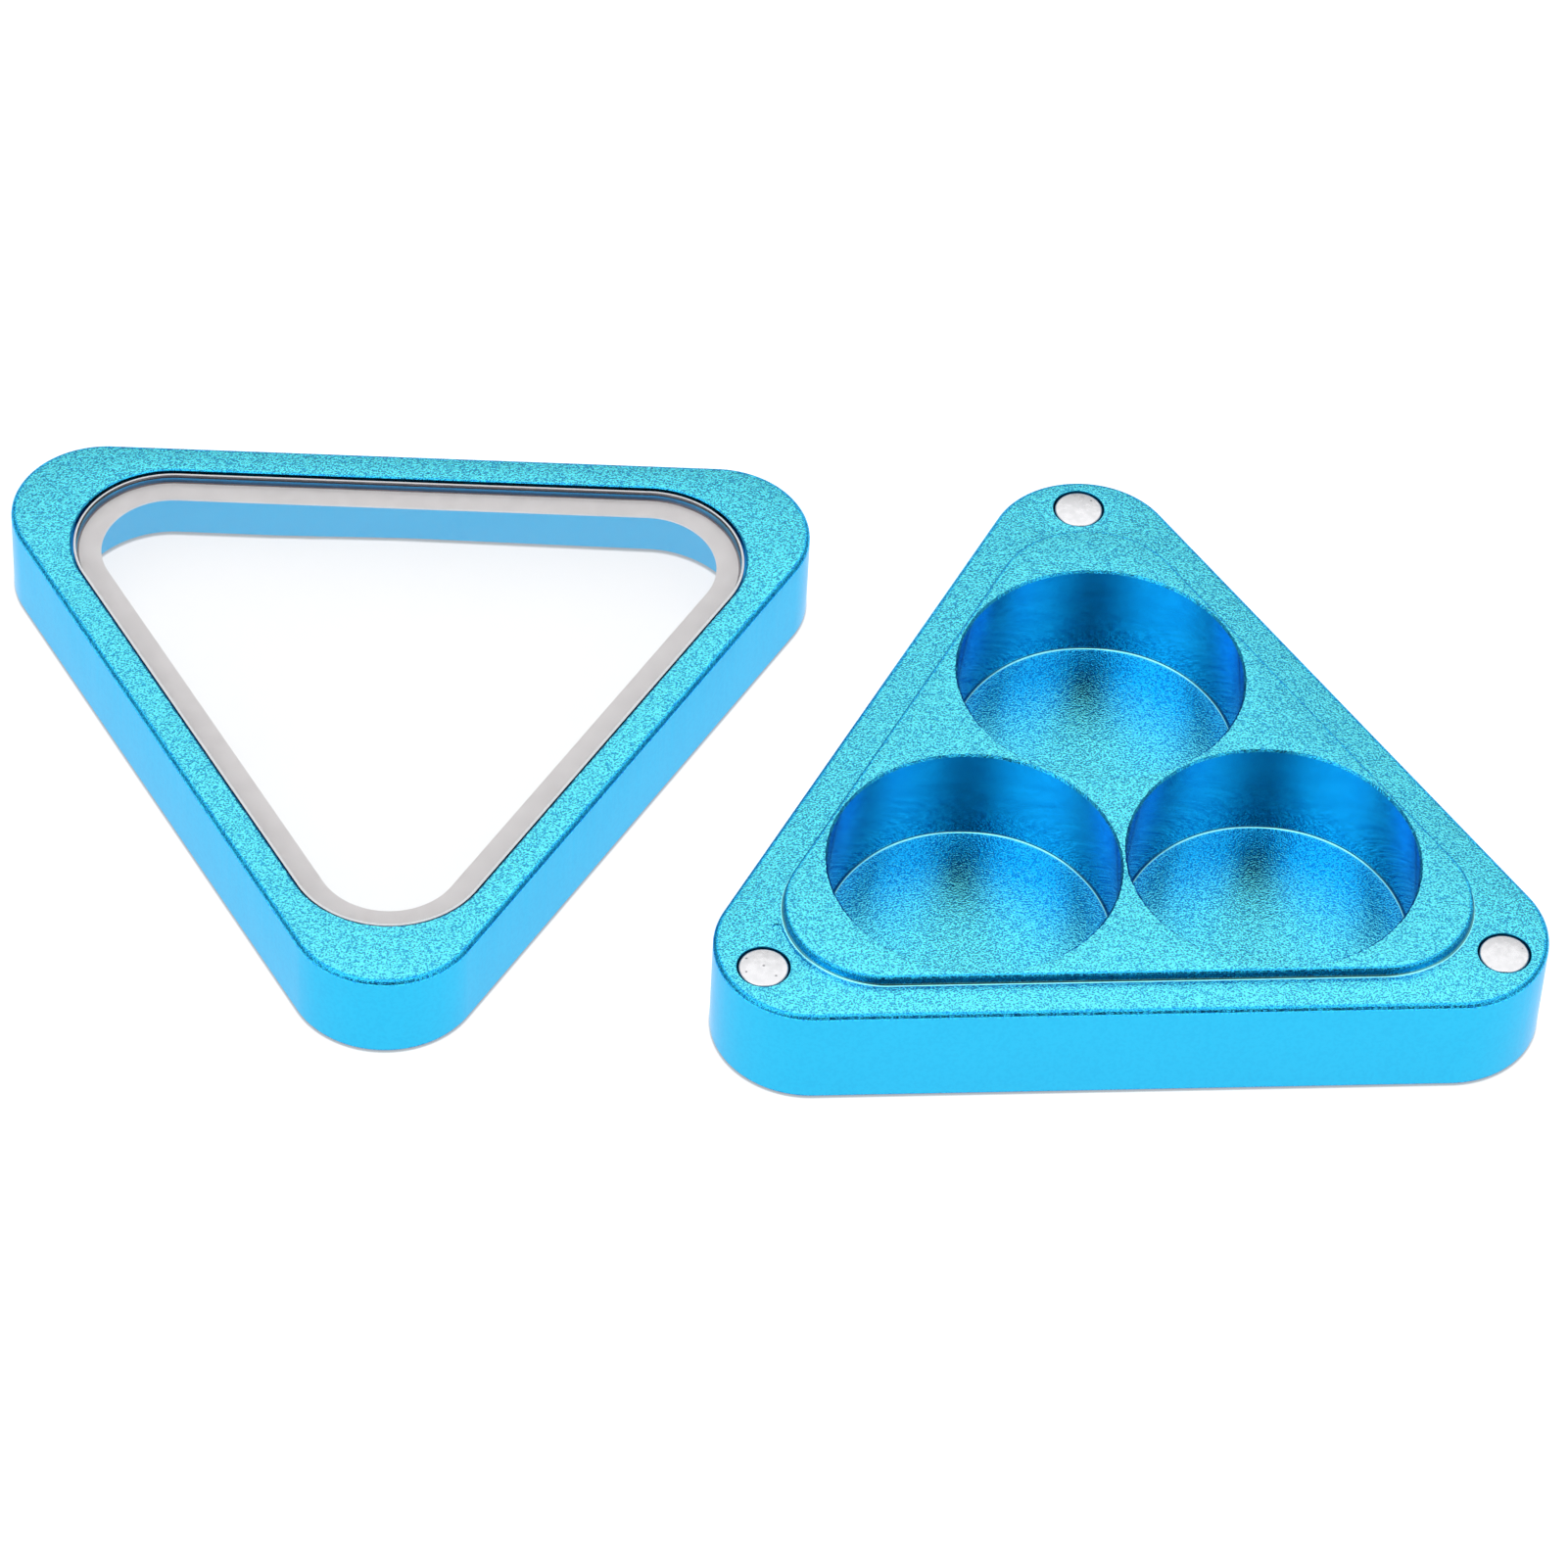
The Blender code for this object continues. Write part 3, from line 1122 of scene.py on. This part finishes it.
@dataclass
class Window:
    """The clear pane and the bonding film under its edge."""

    lid: MilledLid
    pane_clearance: float = 0.15 * MM
    pane_edge: float = 0.14 * MM
    pane_edge_slope: float = 0.25
    pane_edge_steps: int = 3
    pane_edge_roundness: float = 1.2
    film_setback: float = 0.25 * MM
    gap_shade_width: float = 0.12 * MM
    film_width: float = 1.5 * MM
    band: SilverFilm = SilverFilm(
        "silver_film", colour=(0.99, 0.95, 0.95), shade=(0.94, 0.90, 0.90)
    )
    # Dark strip at the film's outer edge: painted shade of the gap at the pane's edge.
    gap_shade: SilverFilm = SilverFilm(
        "painted_gap_shade", colour=(0.26, 0.22, 0.25), shade=(0.16, 0.14, 0.17)
    )

    def build_pane(self) -> bpy.types.Object:
        """Builds the pane in its recess, with its upper edge ground and coloured whitish as a
        painted highlight.

        Returns:
            One closed piece.
        """
        low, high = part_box("window_pane")
        inset = self.lid.rim + self.pane_clearance
        edge = broken_edge(self.pane_edge, self.pane_edge_steps, self.pane_edge_roundness)
        section = [(inset + back, low.z + up) for back, up in reversed(edge)]
        slope = self.pane_edge_slope
        section += [(inset + back, high.z - down * slope) for back, down in edge]
        skin = Skin()
        rings = [skin.ring(self.lid.inner_points(back), z) for back, z in section]
        middle = len(edge)
        skin.bands(rings[: middle + 1], PaneZone.POLISHED)
        skin.bands(rings[middle:], PaneZone.GROUND)
        skin.cap(rings[0], PaneZone.POLISHED)
        skin.cap(rings[-1], PaneZone.POLISHED)
        return skin.finish("clear_pane", self.lid.placement)

    def build_film(self) -> bpy.types.Object:
        """Builds the film between the pane and the ledge, with a dark strip of painted gap shade
        round it.

        Returns:
            One closed piece.
        """
        low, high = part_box("window_border")
        outer = self.lid.rim + self.pane_clearance + self.film_setback
        inner = outer + self.film_width
        gap_shade = outer + self.gap_shade_width
        skin = Skin()
        outlines = (
            (self.lid.inner_points(outer), low.z),
            (self.lid.inner_points(outer), high.z),
            (self.lid.inner_points(gap_shade), high.z),
            (self.lid.inner_points(inner), high.z),
            (self.lid.inner_points(inner), low.z),
        )
        rings = [skin.ring(outline, z) for outline, z in outlines]
        skin.bands(rings[:3], FilmZone.BEAD)
        skin.bands([*rings[2:], rings[0]], FilmZone.BAND)
        return skin.finish("silver_film", self.lid.placement)

    def dress(self, pane: bpy.types.Object, film: bpy.types.Object) -> None:
        """Gives pane and film their finishes and fixes them to the lid.

        Args:
            pane: the clear pane.
            film: the bonding film.
        """
        for piece, finishes, node, slot in (
            (pane, (ClearAcrylic(), GroundHighlightAcrylic()), "window_pane", "window_clear"),
            (film, (self.band, self.gap_shade), "window_border", "film_silver"),
        ):
            for finish in finishes:
                piece.data.materials.append(finish.material())
            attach(piece, "lid")
            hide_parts(node)


def direction(azimuth: float, elevation: float) -> Vector:
    """Works out a direction.

    Args:
        azimuth: degrees about the vertical, 0 in front and 90 to the right.
        elevation: degrees above the table.

    Returns:
        The unit vector that way.
    """
    turn, rise = math.radians(azimuth), math.radians(elevation)
    flat = math.cos(rise)
    return Vector((math.sin(turn) * flat, -math.cos(turn) * flat, math.sin(rise)))


@dataclass(frozen=True)
class SoftLamp:
    """A big soft lamp far away, whose light fades from an inner to an outer angle, in degrees."""

    azimuth: float
    elevation: float
    inner: float
    outer: float
    strength: float


@dataclass
class Studio:
    """A pale light table under soft lamps, and a long lens.

    Angles are in degrees. Things darken the table's glow from the contact distance on: a painted
    contact shadow.
    """

    azimuth: float = -5.877
    elevation: float = 46.344
    roll: float = 3.306
    distance: float = 456.03 * MM
    focal_length: float = 170.74
    sensor_width: float = 36.0
    clip: Span = (0.01, 10.0)
    aim_offset: Triple = (1.381 * MM, -1.722 * MM, -1.500 * MM)
    table_size: float = 6.0
    table_drop: float = 0.02 * MM
    table_glow: float = 0.98
    table_shade: Colour = (0.34, 0.34, 0.34)
    table_colour: Colour = (0.36, 0.36, 0.36)
    mottle_size: float = 20.0 * MM
    # contact, contact_span and contact_glow set the painted contact shadow on the table.
    contact: float = 0.25 * MM
    contact_span: Span = (0.45, 0.9)
    contact_glow: float = 0.35
    ambient: float = 0.34
    dark_card: SoftLamp = SoftLamp(
        azimuth=-2.0, elevation=33.0, inner=24.0, outer=46.0, strength=0.07
    )
    lamps: tuple[SoftLamp, ...] = (
        SoftLamp(azimuth=174.0, elevation=72.0, inner=30.0, outer=43.0, strength=1.22),
        SoftLamp(azimuth=0.0, elevation=84.0, inner=6.0, outer=12.0, strength=2.2),
        SoftLamp(azimuth=-56.0, elevation=52.0, inner=8.0, outer=37.0, strength=1.42),
        SoftLamp(azimuth=50.0, elevation=48.0, inner=8.0, outer=31.0, strength=1.12),
    )

    def lay_table(self) -> None:
        """Lays a big pale glowing sheet, dimmed as a painted contact shadow where something stands
        on it.
        """
        skin = Skin()
        half = self.table_size / 2
        signs = ((-1, -1), (1, -1), (1, 1), (-1, 1))
        corners = [Vector((x * half, y * half)) for x, y in signs]
        skin.cap(skin.ring(corners, -self.table_drop), Plain.ALL)
        table = skin.finish("light_table", AS_DRAWN)
        graph = FinishGraph("pale_acrylic_sheet")
        graph.set(Roughness=0.7, Specular_IOR_Level=0.1, Emission_Color=WHITE)
        mottle = graph.remap(graph.noise(self.mottle_size), NOISE_SPAN)
        graph.feed(graph.between(mottle, self.table_shade, self.table_colour), "Base Color")
        # The glow dims where the ambient occlusion finds things close by: a painted contact shadow.
        contact_shadow_ao = graph.node("ShaderNodeAmbientOcclusion", samples=8)
        contact_shadow_ao.inputs["Distance"].default_value = self.contact
        glow = (self.contact_glow * self.table_glow, self.table_glow)
        graph.feed(graph.remap(contact_shadow_ao.outputs["AO"], self.contact_span, glow), "Emission Strength")
        table.data.materials.append(graph.material)

    def patch(self, tree: bpy.types.NodeTree, lamp: SoftLamp, around: float) -> Socket:
        """One soft-edged round patch of the surroundings.

        Args:
            tree: the world's nodes.
            lamp: place, size and strength of the patch.
            around: strength outside it.

        Returns:
            The strength in each direction.
        """
        place = tree.nodes.new("ShaderNodeTexCoord").outputs["Generated"]
        along = tree.nodes.new("ShaderNodeVectorMath")
        along.operation = "DOT_PRODUCT"
        along.inputs[1].default_value = direction(lamp.azimuth, lamp.elevation)
        tree.links.new(place, along.inputs[0])
        span = (math.cos(math.radians(lamp.outer)), math.cos(math.radians(lamp.inner)))
        return smooth_range(tree, along.outputs["Value"], span, (around, lamp.strength))

    def hang_lamps(self) -> None:
        """Surrounds the object with the lamps' soft light, over a faint light from everywhere."""
        world = bpy.data.worlds.new("soft_lamps")
        world.use_nodes = True
        tree = world.node_tree
        sky = tree.nodes["Background"]
        sky.inputs["Color"].default_value = WHITE
        brightest = self.patch(tree, self.dark_card, self.ambient)
        for lamp in self.lamps:
            brighter = tree.nodes.new("ShaderNodeMath")
            brighter.operation = "MAXIMUM"
            tree.links.new(brightest, brighter.inputs[0])
            tree.links.new(self.patch(tree, lamp, 0.0), brighter.inputs[1])
            brightest = brighter.outputs["Value"]
        tree.links.new(brightest, sky.inputs["Strength"])
        bpy.context.scene.world = world

    def set_camera(self) -> None:
        """Aims a long lens at the middle of the object."""
        low, high = cad_box
        aim = (low + high) / 2 + Vector(self.aim_offset)
        towards_camera = direction(self.azimuth, self.elevation)
        lens = bpy.data.cameras.new("long_lens")
        lens.lens = self.focal_length
        lens.sensor_width = self.sensor_width
        lens.clip_start, lens.clip_end = self.clip
        camera = bpy.data.objects.new("camera", lens)
        bpy.context.scene.collection.objects.link(camera)
        camera.location = aim + towards_camera * self.distance
        upright = (-towards_camera).to_track_quat("-Z", "Y").to_matrix().to_4x4()
        rolled = upright @ Matrix.Rotation(math.radians(self.roll), 4, "Z")
        camera.rotation_euler = rolled.to_euler()
        bpy.context.scene.camera = camera

    def build(self) -> None:
        """Sets up camera, table and lamps, with colours shown as they are."""
        self.set_camera()
        self.lay_table()
        self.hang_lamps()
        view = bpy.context.scene.view_settings
        view.view_transform = "Standard"
        view.look = "None"


def case_outline() -> RoundedTriangle:
    """Works out the outline of both blocks from the width and depth of the CAD base.

    Returns:
        The outline, a hair inside the CAD block's sides.
    """
    low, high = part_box("base_body")
    width, depth = high.x - low.x, high.y - low.y
    corner_radius = (2 * depth / math.sqrt(3) - width) / (4 / math.sqrt(3) - 2)
    return RoundedTriangle((depth + corner_radius) / 3, corner_radius).inset(OUTLINE_INSET)


def report(piece: bpy.types.Object) -> None:
    """Logs a finished piece."""
    log.info("%s: %d faces", piece.name, len(piece.data.polygons))


def build_base(outline: RoundedTriangle) -> None:
    """Builds and dresses the base.

    Args:
        outline: outline of its sides.
    """
    placement = Placement.of_magnets("base_magnet_back", "base_magnet_left", "base_magnet_right")
    low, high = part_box("base_magnet_back")
    base = MilledBase(
        placement,
        outline,
        height=high.z + MAGNET_RECESS,
        magnet_reach=placement.reach_of((low + high) / 2),
        plateau_height=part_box("base_body")[1].z,
    )
    piece = base.build()
    base.dress(piece, "base", "base_body")
    report(piece)


def build_lid(outline: RoundedTriangle) -> None:
    """Builds and dresses the lid and its window.

    Args:
        outline: outline of its sides.
    """
    placement = Placement.of_magnets("lid_magnet_front", "lid_magnet_right", "lid_magnet_left")
    low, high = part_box("lid_magnet_front")
    lid = MilledLid(
        placement,
        outline,
        height=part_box("lid_frame")[1].z,
        magnet_reach=placement.reach_of((low + high) / 2),
    )
    piece = lid.build()
    lid.dress(piece, "lid", "lid_frame")
    window = Window(lid)
    pane, film = window.build_pane(), window.build_film()
    window.dress(pane, film)
    for made in (piece, pane, film):
        report(made)


def build_magnets() -> None:
    """Builds and plates the magnet in each corner of both blocks."""
    bodies = frame["record"]["behaviour"]["bodies"]
    magnets = [(node, body) for body in bodies for node in bodies[body] if "magnet" in node]
    for node, body in magnets:
        magnet = CornerMagnet(node, body)
        disc = magnet.build()
        magnet.dress(disc)
        report(disc)


def main() -> None:
    """Builds the studio, each half of the case and the magnets, and notes the sizes."""
    logging.basicConfig(level=logging.INFO, format="%(name)s: %(message)s")
    Studio().build()
    outline = case_outline()
    sizes = (outline.inradius / MM, outline.corner_radius / MM)
    log.info("outline: inradius %.3f mm, corners %.3f mm", *sizes)
    build_base(outline)
    build_lid(outline)
    build_magnets()


if __name__ == "__main__":
    main()
